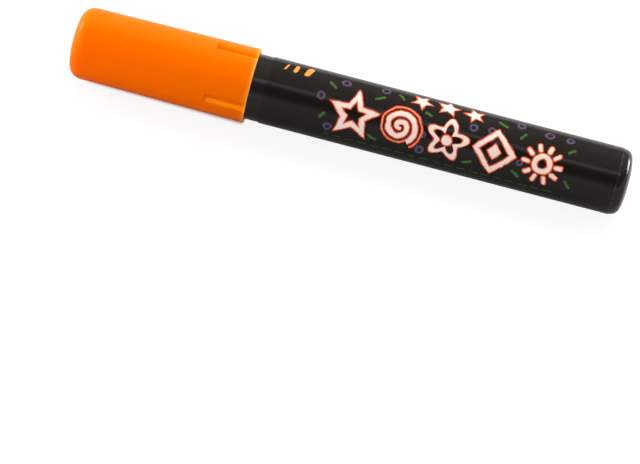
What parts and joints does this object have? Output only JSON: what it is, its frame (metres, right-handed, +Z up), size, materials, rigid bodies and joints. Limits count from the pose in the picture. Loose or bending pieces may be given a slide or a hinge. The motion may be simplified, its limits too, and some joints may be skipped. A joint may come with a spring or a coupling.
{
  "type": "liquid chalk marker",
  "caption": "Round valve-action liquid chalk marker with a pull-off cap, wrapped black barrel, sprung chisel nib and loose mixing balls.",
  "frame": {"origin": "on the surface that the marker lies on, under the middle of its length and of its width", "axes": "+X along the marker's axis from the cap to the tail, +Z up, with a groove of the cap facing down and the label's print facing up and towards -Y"},
  "size_m": [0.14, 0.0184, 0.0184],
  "materials": {
    "barrel_plastic": "glossy black moulded plastic",
    "label_print": "black printed film, satin gloss",
    "cap_plastic": "orange moulded plastic, semi-gloss",
    "seal_plastic": "natural soft plastic",
    "holder_plastic": "black moulded plastic",
    "nib_felt": "pressed fibre soaked with orange",
    "valve_plastic": "natural moulded plastic",
    "washer_rubber": "soft black rubber",
    "spring_steel": "drawn stainless wire",
    "ball_steel": "polished stainless ball"
  },
  "bodies": {
    "barrel": {"barrel_tube": "barrel_plastic", "label_film": "label_print", "nib_holder": "holder_plastic", "valve_body": "valve_plastic", "valve_seat_washer": "washer_rubber", "spring_retainer": "valve_plastic", "valve_spring": "spring_steel"},
    "cap": {"cap_shell": "cap_plastic", "cap_inner_seal": "seal_plastic"},
    "nib": {"felt_nib": "nib_felt", "valve_stem": "valve_plastic"},
    "ball_right": {"mixing_ball_right": "ball_steel"},
    "ball_left": {"mixing_ball_left": "ball_steel"}
  },
  "joints": [
    {"name": "cap_pull", "type": "slide", "parent": "barrel", "child": "cap", "axis": [-1, 0, 0], "range_m": [0, 0.045]},
    {"name": "nib_press", "type": "slide", "parent": "barrel", "child": "nib", "axis": [1, 0, 0], "range_m": [0, 0.0025], "stiffness_N_per_m": 300, "springref_m": -0.004, "deforming": ["valve_spring"]},
    {"name": "ball_right_roll", "type": "slide", "parent": "barrel", "child": "ball_right", "axis": [1, 0, 0], "range_m": [-0.0714, 0]},
    {"name": "ball_left_roll", "type": "slide", "parent": "barrel", "child": "ball_left", "axis": [1, 0, 0], "range_m": [-0.0714, 0]}
  ]
}
